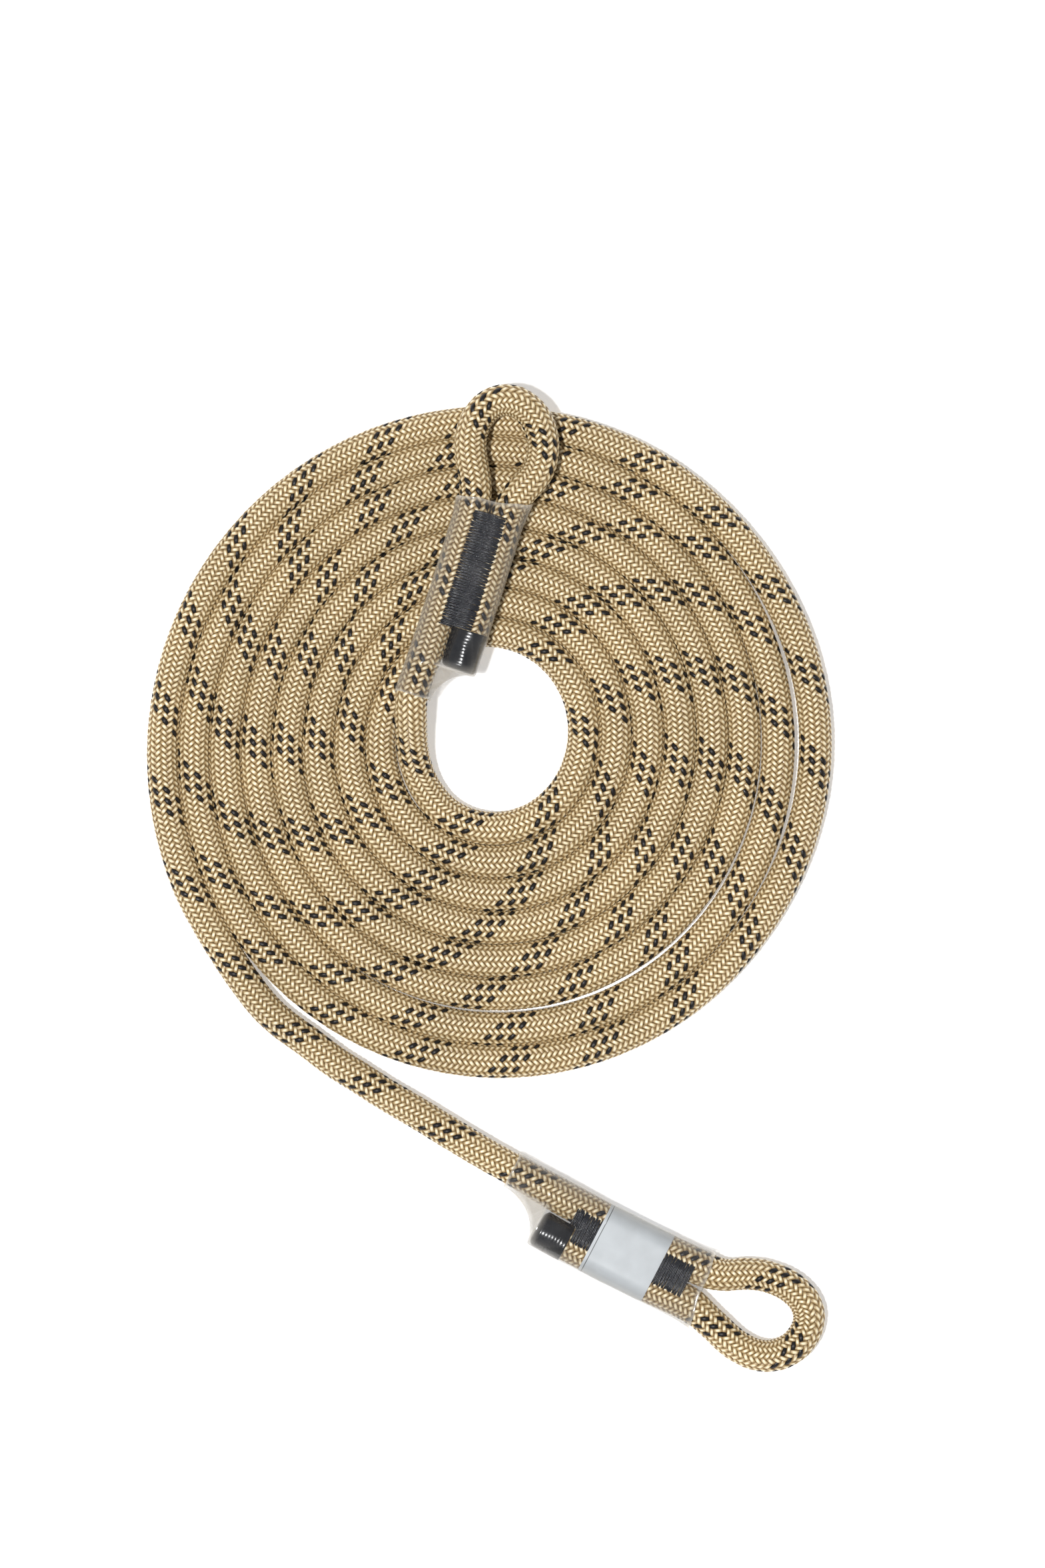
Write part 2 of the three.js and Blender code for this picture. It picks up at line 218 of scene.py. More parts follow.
class Route:
    """The rope's line from the inner end's tip to the outer end's, in millimetres."""

    STEP = 0.8

    def __init__(self):
        line = softened(evenly(curve_through(self.points()), self.STEP), 5)
        self.line, self.width = line[:, :3], line[:, 3]
        steps = np.linalg.norm(np.diff(self.line, axis=0), axis=1)
        self.along = np.concatenate([[0], np.cumsum(steps)])
        self.length = float(self.along[-1])
        ahead = np.gradient(self.line, axis=0)
        ahead /= np.linalg.norm(ahead, axis=1)[:, None]
        left = np.stack([-ahead[:, 1], ahead[:, 0], np.zeros(len(ahead))], axis=1)
        self.left = left / np.linalg.norm(left, axis=1)[:, None]
        self.up = np.cross(ahead, self.left)
        twist = np.array(TWIST, float)
        self.twist = np.radians(np.interp(self.along, twist[:, 0], twist[:, 1]))
        near = np.array(from_polar(30.3, CUT_DEGREES, 9.28))
        inner = self.along < 400
        gaps = np.linalg.norm(self.line[inner] - near, axis=1)
        self.cut = float(self.along[inner][gaps.argmin()])

    @staticmethod
    def points():
        """[x, y, height, width share] from end to end."""
        tip = lambda end: end["cap"][0] + 1.6
        leg = lambda end, *along: [(a, end["spacing"], 0) for a in along]
        inner = [*leg(INNER_END, tip(INNER_END), 31, 48, 66, 79.5), *INNER_END["eye"][::-1],
                 (79.5, 0, 0), (60, 0, 0), (40, 0, 0), (20, 0, 0), (0, 0, 0)]
        outer = [(0, 0, 0), (20, 0, 0), (43, 0, 0), (66, 0, 0), (85.5, 0, 0), *OUTER_END["eye"],
                 *leg(OUTER_END, 85.5, 66, 48, tip(OUTER_END))]
        climb = [from_polar(radius, degrees, height) for degrees, radius, height in CLIMB]
        turns = np.arange(*SPIRAL_DEGREES)
        angle = np.radians(turns)
        radius = spiral_radius(turns)
        level = np.full(len(turns), FLOOR_LEVEL)
        coil = np.stack([radius * np.cos(angle), radius * np.sin(angle), level], axis=1)
        parts = [end_points(INNER_END, inner), np.array(climb), coil, np.array(TAIL),
                 end_points(OUTER_END, outer)]
        widths = [np.ones(len(part)) for part in parts]
        widths[2] = spiral_width(turns)
        widths[0][:5] = widths[0][-4:-1] = INNER_END["pressed"]
        widths[4][1:5] = widths[4][-4:] = OUTER_END["pressed"]
        return np.hstack([np.vstack(parts), np.concatenate(widths)[:, None]])

    def at(self, along, angle, radius):
        """Points on the rope: along it, round it from its left side over its top, from its axis."""
        found = np.clip(along, 0, self.length)
        column = lambda values: np.interp(found, self.along, values)
        middle = np.stack([column(self.line[:, k]) for k in range(3)], axis=-1)
        left = np.stack([column(self.left[:, k]) for k in range(3)], axis=-1)
        up = np.stack([column(self.up[:, k]) for k in range(3)], axis=-1)
        turned = angle + column(self.twist)
        across = (radius * np.cos(turned) * column(self.width))[..., None]
        above = (radius * np.sin(turned))[..., None]
        return middle + left * across + up * above


# ---------- Meshes ----------

def face_mesh(name, points, quads, flat=0, maps=None):
    """A mesh piece, smooth but for the last flat faces. Points are in metres.

    A face has four corners, or three where its last two are the same.
    """
    three = quads[:, 2] == quads[:, 3]
    used = np.ones(quads.shape, bool)
    used[three, 3] = False
    counts = used.sum(axis=1)
    starts = np.concatenate([[0], np.cumsum(counts)[:-1]])
    mesh = bpy.data.meshes.new(name)
    mesh.vertices.add(len(points))
    mesh.vertices.foreach_set("co", points.astype(np.float32).ravel())
    mesh.loops.add(int(counts.sum()))
    mesh.loops.foreach_set("vertex_index", quads[used].astype(np.int32))
    mesh.polygons.add(len(quads))
    mesh.polygons.foreach_set("loop_start", starts.astype(np.int32))
    smooth = np.ones(len(quads), bool)
    smooth[len(quads) - flat:] = False
    mesh.polygons.foreach_set("use_smooth", smooth)
    for map_name, places in (maps or {}).items():
        layer = mesh.uv_layers.new(name=map_name, do_init=False)
        layer.uv.foreach_set("vector", places.reshape(-1, 4, 2)[used].astype(np.float32).ravel())
    mesh.update(calc_edges=True)
    piece = bpy.data.objects.new(name, mesh)
    bpy.context.scene.collection.objects.link(piece)
    return piece


# A yarn's section: [across, outwards] in half widths and half thicknesses, and its place across.
YARN_SECTION = np.array([(-1.0, -0.25), (-0.52, 0.82), (0.52, 0.82), (1.0, -0.25), (0.0, -0.95)])
YARN_ACROSS = np.array([0.0, 0.3, 0.7, 1.0, 1.25])
# Rings of each float and dip of a yarn, as shares of its full wave from crest to crest.
YARN_RINGS = np.array([-0.085, 0.085, 0.24, 0.5, 0.76])


def yarn_wave(share):
    """How far over the others a yarn lies, from 1 on its float to -1 in its dip."""
    wave = np.cos(FULL_TURN * share)
    return wave * (1.22 - 0.22 * wave * wave)


def braid_mesh(name, route, settings, begin, end, yarns, lay):
    """The yarns of one lay between two places along the rope, as one piece of closed strips."""
    carriers = settings.carriers // 2
    lead, radius = settings.lay_length / MM, settings.diameter / MM / 2
    half_wide = settings.yarn_width / MM / 2
    half_thick = settings.yarn_thickness / MM / 2
    depth = settings.weave_depth / MM
    period = lead / carriers * 2
    middle_radius = radius - depth - half_thick
    slope = math.atan(FULL_TURN * middle_radius / lead)
    rows = max(1, round(math.sqrt((end - begin) / (FULL_TURN * radius))))
    row_length = (end - begin) / rows
    all_points, all_quads, all_caps, first = [], [], [], 0
    yarn_maps, cap_yarn_maps, bake_maps, cap_bake_maps = [], [], [], []
    sides = len(YARN_SECTION)
    for yarn in yarns:
        turned = FULL_TURN / carriers * (yarn if lay > 0 else yarn + 0.5)
        # In its own waves, a yarn of either lay floats where this count is whole.
        offset = yarn / 2 if lay > 0 else -(yarn + 0.5) / 2 + 0.5
        low, high = begin / period + offset, end / period + offset
        waves = np.arange(math.floor(low) - 1, math.ceil(high) + 2)
        rings = (waves[:, None] + YARN_RINGS[None, :]).ravel()
        rings = rings[(rings > low + 0.06) & (rings < high - 0.06)]
        rings = np.concatenate([[low], rings, [high]])
        along = (rings - offset) * period
        over = yarn_wave(rings)
        wobble = 0.035 * np.sin(along / 9.7 + 2.1 * yarn) + 0.03 * np.sin(along / 4.3 + 5.7 * yarn * lay)
        ring_radius = middle_radius + depth * over + wobble
        wide = half_wide * (1 + 0.07 * over + 0.05 * np.sin(along / 6.1 + 3.3 * yarn))
        across = wide[:, None] * YARN_SECTION[None, :, 0]
        out = ring_radius[:, None] + half_thick * YARN_SECTION[None, :, 1]
        place = along[:, None] - lay * across * math.sin(slope)
        angle = turned + lay * FULL_TURN * along / lead
        angle = angle[:, None] + across * math.cos(slope) / middle_radius
        all_points.append(route.at(place, angle, out).reshape(-1, 3))
        count = len(rings)
        ring = np.arange(count - 1)[:, None] * sides + np.arange(sides)[None, :]
        following = np.arange(count - 1)[:, None] * sides + (np.arange(sides) + 1)[None, :] % sides
        quads = np.stack([ring, following, following + sides, ring + sides], axis=-1).reshape(-1, 4)
        all_quads.append(quads + first)
        last = (count - 1) * sides
        caps = np.array([[0, 4, 3, 3], [0, 3, 2, 1], [last, last + 3, last + 4, last + 4],
                         [last, last + 1, last + 2, last + 3]])
        all_caps.append(caps + first)
        # Fibre map: along the yarn in waves, and across it.
        share = np.concatenate([YARN_ACROSS, [1.5]])
        u = rings + 37.0 * yarn
        corner = np.empty((count - 1, sides, 4, 2))
        corner[..., 0, 0] = corner[..., 1, 0] = u[:-1, None]
        corner[..., 2, 0] = corner[..., 3, 0] = u[1:, None]
        corner[..., 0, 1] = corner[..., 3, 1] = share[None, :-1]
        corner[..., 1, 1] = corner[..., 2, 1] = share[None, 1:]
        yarn_maps.append(corner.reshape(-1, 2))
        # Laid-out map: the rope's surface unrolled in rows.
        flat_s = np.broadcast_to(place, (count, sides)).ravel()
        flat_a = (angle / FULL_TURN).ravel()
        s, a = flat_s[quads], flat_a[quads]
        middle_s = np.clip(s.mean(axis=1), begin, end - 1e-6)
        row = np.clip(np.floor((middle_s - begin) / row_length), 0, rows - 1)
        turn = np.floor(a.mean(axis=1))
        bake = np.empty((len(quads), 4, 2))
        bake[..., 0] = (s - begin) / row_length - row[:, None]
        bake[..., 1] = (row[:, None] + np.clip(a - turn[:, None], 0.0, 1.0)) / rows
        bake_maps.append(np.clip(bake, 0.0, 1.0).reshape(-1, 2))
        cap_yarn_maps.append(np.stack([np.full(16, u[0]), np.tile([0.2, 0.4, 0.6, 0.8], 4)], axis=1))
        corner_maps = bake_maps[-1]
        cap_bake_maps.append(np.vstack([corner_maps[:8], corner_maps[-8:]]))
        first += count * sides
    quads = np.vstack(all_quads + all_caps)
    caps = sum(len(c) for c in all_caps)
    points = in_row(np.vstack(all_points))
    maps = {"Yarn": np.vstack(yarn_maps + cap_yarn_maps), "OFBake": np.vstack(bake_maps + cap_bake_maps)}
    return face_mesh(name, points, quads, caps, maps)


INSIDE_RADIUS = 4.95  # of the rope's body under the yarns


def tube_mesh(name, route, begin, end, radius, step=2.6, sides=14):
    """A closed round tube inside the braid, and the line that it follows."""
    count = int((end - begin) / step) + 1
    along = np.linspace(begin, end, count)
    angle = np.arange(sides) / sides * FULL_TURN
    place = np.broadcast_to(along[:, None], (count, sides))
    points = route.at(place, np.broadcast_to(angle[None, :], (count, sides)), np.full((count, sides), radius))
    ring = np.arange(count - 1)[:, None] * sides + np.arange(sides)[None, :]
    following = np.arange(count - 1)[:, None] * sides + (np.arange(sides) + 1)[None, :] % sides
    quads = np.stack([ring, ring + sides, following + sides, following], axis=-1).reshape(-1, 4)[:, ::-1]
    half = sides // 2
    caps = []
    for start, turn in ((0, -1), ((count - 1) * sides, 1)):
        for k in range(half - 1):
            cap = [start + k, start + k + 1, start + sides - 2 - k, start + sides - 1 - k]
            caps.append(cap[::turn])
    quads = np.vstack([quads, caps])
    line = in_row(route.at(along, np.zeros(count), np.zeros(count)))
    piece = face_mesh(name, in_row(points.reshape(-1, 3)), quads, flat=len(caps))
    return piece, line


# ---------- Materials ----------

def node_group(name, inputs, outputs):
    """An empty shader group with named sockets: {name: (socket type, default)}."""
    group = bpy.data.node_groups.new(name, "ShaderNodeTree")
    for socket, (kind, default) in inputs.items():
        made = group.interface.new_socket(name=socket, in_out="INPUT", socket_type=kind)
        if default is not None:
            made.default_value = default
    for socket, kind in outputs.items():
        group.interface.new_socket(name=socket, in_out="OUTPUT", socket_type=kind)
    return group


def add(tree, kind, place=(0, 0), **values):
    """A node with its settings and its inputs' values, by name."""
    node = tree.nodes.new(kind)
    node.location = place
    for key, value in values.items():
        if hasattr(node, key):
            setattr(node, key, value)
        else:
            node.inputs[key.replace("_", " ")].default_value = value
    return node


def remap(tree, place, source, given=(0.0, 1.0), wanted=(0.0, 1.0), **settings):
    """A value taken from one range to another."""
    node = add(tree, "ShaderNodeMapRange", place, **settings)
    for side, ends in (("From", given), ("To", wanted)):
        node.inputs[f"{side} Min"].default_value = ends[0]
        node.inputs[f"{side} Max"].default_value = ends[1]
    tree.links.new(source, node.inputs["Value"])
    return node.outputs[0]


def calculate(tree, place, operation, first, second, **settings):
    """A sum, product or fold; first and second are sockets or values."""
    node = add(tree, "ShaderNodeMath", place, operation=operation, **settings)
    for socket, value in ((node.inputs[0], first), (node.inputs[1], second)):
        if isinstance(value, bpy.types.NodeSocket):
            tree.links.new(value, socket)
        else:
            socket.default_value = value
    return node.outputs[0]


def fibre_group():
    """Fine fibres that run along a yarn or a thread: a streaked mask and a height."""
    group = node_group(
        "Fine Fibres",
        {"Vector": ("NodeSocketVector", None), "Along": ("NodeSocketFloat", 3.0),
         "Across": ("NodeSocketFloat", 26.0)},
        {"Streaks": "NodeSocketFloat", "Height": "NodeSocketFloat"},
    )
    start = add(group, "NodeGroupInput", (-900, 0))
    finish = add(group, "NodeGroupOutput", (500, 0))
    scale = add(group, "ShaderNodeCombineXYZ", (-700, -120))
    group.links.new(start.outputs["Along"], scale.inputs["X"])
    group.links.new(start.outputs["Across"], scale.inputs["Y"])
    stretched = add(group, "ShaderNodeVectorMath", (-500, 0), operation="MULTIPLY")
    group.links.new(start.outputs["Vector"], stretched.inputs[0])
    group.links.new(scale.outputs[0], stretched.inputs[1])
    noise = add(group, "ShaderNodeTexNoise", (-300, 80), Scale=1.0, Detail=3.0, Roughness=0.6)
    coarse = add(group, "ShaderNodeTexNoise", (-300, -180), Scale=0.31, Detail=1.0, Roughness=0.5)
    for texture in (noise, coarse):
        group.links.new(stretched.outputs[0], texture.inputs["Vector"])
    fine_part = calculate(group, (-60, 0), "MULTIPLY", noise.outputs["Fac"], 0.65)
    coarse_part = calculate(group, (-60, -200), "MULTIPLY", coarse.outputs["Fac"], 0.35)
    mixed = calculate(group, (60, 0), "ADD", fine_part, coarse_part)
    shaped = remap(group, (220, 60), mixed, (0.28, 0.72))
    group.links.new(shaped, finish.inputs["Streaks"])
    group.links.new(noise.outputs["Fac"], finish.inputs["Height"])
    return group


def handling_group():
    """Slow changes of tone and fine dust over a handled piece, from its place."""
    group = node_group(
        "Handling Marks",
        {"Vector": ("NodeSocketVector", None), "Patch Scale": ("NodeSocketFloat", 28.0),
         "Dust Scale": ("NodeSocketFloat", 900.0)},
        {"Patches": "NodeSocketFloat", "Dust": "NodeSocketFloat"},
    )
    start = add(group, "NodeGroupInput", (-700, 0))
    finish = add(group, "NodeGroupOutput", (500, 0))
    patches = add(group, "ShaderNodeTexNoise", (-400, 120), Detail=3.0, Roughness=0.55)
    dust = add(group, "ShaderNodeTexNoise", (-400, -160), Detail=2.0, Roughness=0.7)
    for texture, scale in ((patches, "Patch Scale"), (dust, "Dust Scale")):
        group.links.new(start.outputs["Vector"], texture.inputs["Vector"])
        group.links.new(start.outputs[scale], texture.inputs["Scale"])
    spread = remap(group, (-100, 120), patches.outputs["Fac"], (0.3, 0.7))
    specks = remap(group, (-100, -160), dust.outputs["Fac"], (0.56, 0.78))
    group.links.new(spread, finish.inputs["Patches"])
    group.links.new(specks, finish.inputs["Dust"])
    return group


def new_material(name):
    material = bpy.data.materials.new(name)
    material.use_nodes = True
    tree = material.node_tree
    tree.nodes.clear()
    output = add(tree, "ShaderNodeOutputMaterial", (700, 0))
    shader = add(tree, "ShaderNodeBsdfPrincipled", (400, 0))
    tree.links.new(shader.outputs[0], output.inputs["Surface"])
    return material, tree, shader


def place_group(tree, name, place, **values):
    node = tree.nodes.new("ShaderNodeGroup")
    node.node_tree = bpy.data.node_groups[name]
    node.location = place
    for key, value in values.items():
        node.inputs[key.replace("_", " ")].default_value = value
    return node


def mix_colour(tree, place, factor, first, second, blend="MIX"):
    """A colour mix; factor, first and second are sockets or values."""
    node = tree.nodes.new("ShaderNodeMix")
    node.data_type, node.blend_type, node.location = "RGBA", blend, place
    for socket, given in ((node.inputs[0], factor), (node.inputs[6], first), (node.inputs[7], second)):
        if isinstance(given, bpy.types.NodeSocket):
            tree.links.new(given, socket)
        else:
            socket.default_value = given
    return node.outputs[2]


def bump(tree, place, height, strength, distance):
    node = add(tree, "ShaderNodeBump", place, Strength=strength, Distance=distance)
    tree.links.new(height, node.inputs["Height"])
    return node.outputs["Normal"]


def with_alpha(colour):
    return (*colour[:3], 1.0)


def yarn_material(name, crest, edge, roughness, highlight_and_streak_tint, streak_share, highlight_share, shine):
    """Twisted synthetic yarn: painted light on its crown, painted shade at its edges and dips, a painted
    highlight on each float's crest, with fibres along it.
    """
    material, tree, shader = new_material(name)
    place = add(tree, "ShaderNodeUVMap", (-1300, 0), uv_map="Yarn")
    spot = add(tree, "ShaderNodeTexCoord", (-1300, -400))
    fibres = place_group(tree, "Fine Fibres", (-1000, 100), Along=1.3, Across=9.0)
    marks = place_group(tree, "Handling Marks", (-1000, -350), Patch_Scale=34.0, Dust_Scale=700.0)
    tree.links.new(place.outputs[0], fibres.inputs["Vector"])
    tree.links.new(spot.outputs["Object"], marks.inputs["Vector"])
    apart = add(tree, "ShaderNodeSeparateXYZ", (-1000, 300))
    tree.links.new(place.outputs[0], apart.inputs[0])
    # Painted shade: each float runs from the edge colour at its edges and in its dips to the crest colour on
    # its middle, as light and shade would fall.
    crown = calculate(tree, (-800, 300), "PINGPONG", apart.outputs["Y"], 0.5)
    crown_share = remap(tree, (-600, 300), crown, (0.02, 0.4), interpolation_type="SMOOTHSTEP")
    wave = calculate(tree, (-800, 500), "PINGPONG", apart.outputs["X"], 0.5)
    wave_share = remap(tree, (-600, 560), wave, (0.34, 0.12), interpolation_type="SMOOTHSTEP")
    painted_light_share = calculate(tree, (-480, 420), "MULTIPLY", crown_share, wave_share)
    colour = mix_colour(tree, (-380, 200), painted_light_share, with_alpha(edge), with_alpha(crest))
    # Painted highlight: a cream spot in the highlight tint on the middle of each float's crest; the same tint
    # also lightens the fibre streaks below.
    top = remap(tree, (-600, 760), wave, (0.20, 0.03), interpolation_type="SMOOTHSTEP")
    ridge = remap(tree, (-600, 940), crown, (0.22, 0.46), interpolation_type="SMOOTHSTEP")
    painted_highlight = calculate(tree, (-400, 840), "MULTIPLY", top, ridge)
    part = calculate(tree, (-240, 840), "MULTIPLY", painted_highlight, highlight_share)
    colour = mix_colour(tree, (-240, 320), part, colour, with_alpha(highlight_and_streak_tint))
    streaks = calculate(tree, (-600, 60), "MULTIPLY", fibres.outputs["Streaks"], streak_share)
    colour = mix_colour(tree, (-180, 120), streaks, colour, with_alpha(highlight_and_streak_tint))
    tone = remap(tree, (-600, -350), marks.outputs["Patches"], wanted=(0.9, 1.06))
    spread = add(tree, "ShaderNodeCombineColor", (-380, -350))
    for channel in range(3):
        tree.links.new(tone, spread.inputs[channel])
    colour = mix_colour(tree, (40, 60), 1.0, colour, spread.outputs[0], "MULTIPLY")
    tree.links.new(colour, shader.inputs["Base Color"])
    gloss = remap(tree, (-180, -120), fibres.outputs["Streaks"], wanted=(roughness - 0.05, roughness + 0.12))
    tree.links.new(gloss, shader.inputs["Roughness"])
    tree.links.new(bump(tree, (160, -260), fibres.outputs["Height"], 0.55, 0.00022), shader.inputs["Normal"])
    shader.inputs["Specular IOR Level"].default_value = shine
    return material


def body_material(colour):
    """The rope's inside that shows between the yarns, painted dark brown as the shade there."""
    material, tree, shader = new_material("rope_inside")
    spot = add(tree, "ShaderNodeTexCoord", (-900, 0))
    marks = place_group(tree, "Handling Marks", (-650, 0), Patch_Scale=60.0, Dust_Scale=1500.0)
    tree.links.new(spot.outputs["Object"], marks.inputs["Vector"])
    darker = tuple(c * 0.6 for c in colour[:3])
    mixed = mix_colour(tree, (-200, 0), marks.outputs["Patches"], with_alpha(darker), with_alpha(colour))
    tree.links.new(mixed, shader.inputs["Base Color"])
    shader.inputs["Roughness"].default_value = 0.75
    return material


def length_masks(tree, place, spans):
    """Masks, 1 at the low side of each (low, high) span of the Length map's place along a piece."""
    spot = add(tree, "ShaderNodeUVMap", place, uv_map="Length")
    apart = add(tree, "ShaderNodeSeparateXYZ", (place[0] + 180, place[1]))
    tree.links.new(spot.outputs[0], apart.inputs[0])
    masks = []
    for index, (low, high) in enumerate(spans):
        spot_in_view = (place[0] + 380, place[1] - 200 * index)
        masks.append(remap(tree, spot_in_view, apart.outputs["X"], (low, high), (1.0, 0.0)))
    return masks, apart


def cap_material():
    """Black heat-shrunk cap: glossy, with dull rubbed patches and fine dust."""
    material, tree, shader = new_material("black_cap")
    spot = add(tree, "ShaderNodeTexCoord", (-900, 0))
    marks = place_group(tree, "Handling Marks", (-650, 0), Patch_Scale=160.0, Dust_Scale=2600.0)
    tree.links.new(spot.outputs["Object"], marks.inputs["Vector"])
    colour = mix_colour(tree, (-100, 160), marks.outputs["Patches"], (0.003, 0.004, 0.006, 1),
                        (0.008, 0.010, 0.014, 1))
    dusty = calculate(tree, (-350, 60), "MULTIPLY", marks.outputs["Dust"], 0.08)
    colour = mix_colour(tree, (100, 120), dusty, colour, (0.08, 0.085, 0.10, 1))
    tree.links.new(colour, shader.inputs["Base Color"])
    gloss = remap(tree, (-100, -120), marks.outputs["Patches"], wanted=(0.12, 0.3))
    tree.links.new(gloss, shader.inputs["Roughness"])
    tree.links.new(bump(tree, (100, -320), marks.outputs["Dust"], 0.3, 0.00004), shader.inputs["Normal"])
    shader.inputs["Specular IOR Level"].default_value = 0.6
    return material


def film_material():
    """Clear shrunk film: all but clear on top, whitened down its sides by a painted reflection, and milky
    round its two mouths.
    """
    material, tree, shader = new_material("clear_film")
    spot = add(tree, "ShaderNodeTexCoord", (-1100, -300))
    marks = place_group(tree, "Handling Marks", (-850, -300), Patch_Scale=120.0, Dust_Scale=1400.0)
    tree.links.new(spot.outputs["Object"], marks.inputs["Vector"])
    (mouth, far_mouth), _ = length_masks(tree, (-1100, 300), ((0.0, 0.018), (1.0, 0.975)))
    side = add(tree, "ShaderNodeAttribute", (-1100, 0), attribute_name="side")
    # Painted reflection: the film is whiter and less clear where its sides slope steeply, standing for the
    # light that it reflects at a glancing angle.
    side_reflection_share = remap(tree, (-700, 0), side.outputs["Fac"], wanted=(0.0, 0.9))
    rim = calculate(tree, (-500, 300), "MAXIMUM", mouth, far_mouth)
    rim_share = calculate(tree, (-320, 300), "MULTIPLY", rim, 0.6)
    patch_share = calculate(tree, (-500, -200), "MULTIPLY", marks.outputs["Patches"], 0.10)
    total = calculate(tree, (-300, 60), "ADD", side_reflection_share, patch_share)
    # This mix holds both the painted reflection down the sides and the real haze of the patches and the
    # mouths.
    milky = calculate(tree, (-120, 60), "ADD", total, rim_share, use_clamp=True)
    cover = remap(tree, (60, 20), milky, wanted=(0.045, 0.42))
    tree.links.new(cover, shader.inputs["Alpha"])
    colour = mix_colour(tree, (60, 240), milky, (0.09, 0.09, 0.10, 1), (0.86, 0.81, 0.72, 1))
    tree.links.new(colour, shader.inputs["Base Color"])
    gloss = remap(tree, (-120, -160), marks.outputs["Dust"], wanted=(0.09, 0.16))
    tree.links.new(gloss, shader.inputs["Roughness"])
    ripples = add(tree, "ShaderNodeTexNoise", (-500, -460), Scale=95.0, Detail=1.0, Roughness=0.5)
    tree.links.new(spot.outputs["Object"], ripples.inputs["Vector"])
    tree.links.new(bump(tree, (100, -420), ripples.outputs["Fac"], 0.4, 0.0007), shader.inputs["Normal"])
    shader.inputs["IOR"].default_value = 1.5
    shader.inputs["Specular IOR Level"].default_value = 1.0
    return material


def label_material():
    """Pale printed paper with a plain thin ruled line near its rope side."""
    material, tree, shader = new_material("paper_label")
    spot = add(tree, "ShaderNodeTexCoord", (-1100, -300))
    marks = place_group(tree, "Handling Marks", (-850, -300), Patch_Scale=70.0, Dust_Scale=1900.0)
    tree.links.new(spot.outputs["Object"], marks.inputs["Vector"])
    (after,), apart = length_masks(tree, (-1100, 300), ((0.060, 0.058),))
    before = remap(tree, (-700, 120), apart.outputs["X"], (0.046, 0.048))
    inverse = calculate(tree, (-600, 320), "SUBTRACT", 1.0, after)
    line = calculate(tree, (-480, 220), "MULTIPLY", inverse, before)
    paper = mix_colour(tree, (-300, 0), marks.outputs["Patches"], (0.56, 0.595, 0.62, 1),
                       (0.63, 0.665, 0.69, 1))
    colour = mix_colour(tree, (-60, 120), line, paper, (0.10, 0.105, 0.11, 1))
    tree.links.new(colour, shader.inputs["Base Color"])
    gloss = remap(tree, (-200, -160), marks.outputs["Patches"], wanted=(0.4, 0.6))
    tree.links.new(gloss, shader.inputs["Roughness"])
    tree.links.new(bump(tree, (60, -320), marks.outputs["Dust"], 0.15, 0.00004), shader.inputs["Normal"])
    return material


def thread_material():
    """Dark waxed sewing thread, with single bright fibres."""
    material, tree, shader = new_material("sewing_thread")
    place = add(tree, "ShaderNodeUVMap", (-1100, 100), uv_map="Yarn")
    spot = add(tree, "ShaderNodeTexCoord", (-1100, -300))
    fibres = place_group(tree, "Fine Fibres", (-850, 100), Along=2.2, Across=5.0)
    marks = place_group(tree, "Handling Marks", (-850, -300), Patch_Scale=260.0, Dust_Scale=2400.0)
    tree.links.new(place.outputs[0], fibres.inputs["Vector"])
    tree.links.new(spot.outputs["Object"], marks.inputs["Vector"])
    colour = mix_colour(tree, (-300, 100), fibres.outputs["Streaks"], (0.004, 0.005, 0.008, 1),
                        (0.010, 0.013, 0.022, 1))
    specks = calculate(tree, (-500, -200), "MULTIPLY", marks.outputs["Dust"], 0.12)
    colour = mix_colour(tree, (-60, 60), specks, colour, (0.16, 0.165, 0.19, 1))
    tree.links.new(colour, shader.inputs["Base Color"])
    gloss = remap(tree, (-200, -160), fibres.outputs["Streaks"], wanted=(0.13, 0.28))
    tree.links.new(gloss, shader.inputs["Roughness"])
    tree.links.new(bump(tree, (60, -320), fibres.outputs["Height"], 0.5, 0.00012), shader.inputs["Normal"])
    return material


# ---------- Shells round an end's legs ----------

ARC_STEPS, SIDE_STEPS = 20, 6
OUTLINE_COUNT = 2 * (ARC_STEPS + SIDE_STEPS)


def legs_outline(first_at, first_radius, second_at, second_radius):
    """The taut outline round two circles: [to the right, up, how steep the side is there]."""
    spacing = second_at - first_at
    tangent = math.acos(max(-0.999, min(0.999, (first_radius - second_radius) / spacing)))
    points = []
    for i in range(ARC_STEPS):
        angle = tangent + i / (ARC_STEPS - 1) * (FULL_TURN - 2 * tangent)
        points.append((first_at + first_radius * math.cos(angle), first_radius * math.sin(angle)))
    for i in range(ARC_STEPS):
        angle = -tangent + i / (ARC_STEPS - 1) * 2 * tangent
        points.append((second_at + second_radius * math.cos(angle), second_radius * math.sin(angle)))
    first, second = np.array(points[:ARC_STEPS]), np.array(points[ARC_STEPS:])
    share = np.arange(1, SIDE_STEPS + 1)[:, None] / (SIDE_STEPS + 1)
    under = first[-1] + (second[0] - first[-1]) * share
    over = second[-1] + (first[0] - second[-1]) * share
    outline = np.vstack([first, under, second, over])
    height = np.abs(outline[:, 1]) / max(first_radius, second_radius)
    steep = np.concatenate([1 - height[:ARC_STEPS], np.zeros(SIDE_STEPS),
                            1 - height[ARC_STEPS + SIDE_STEPS:-SIDE_STEPS], np.zeros(SIDE_STEPS)])
    return outline, np.clip(steep, 0, 1)


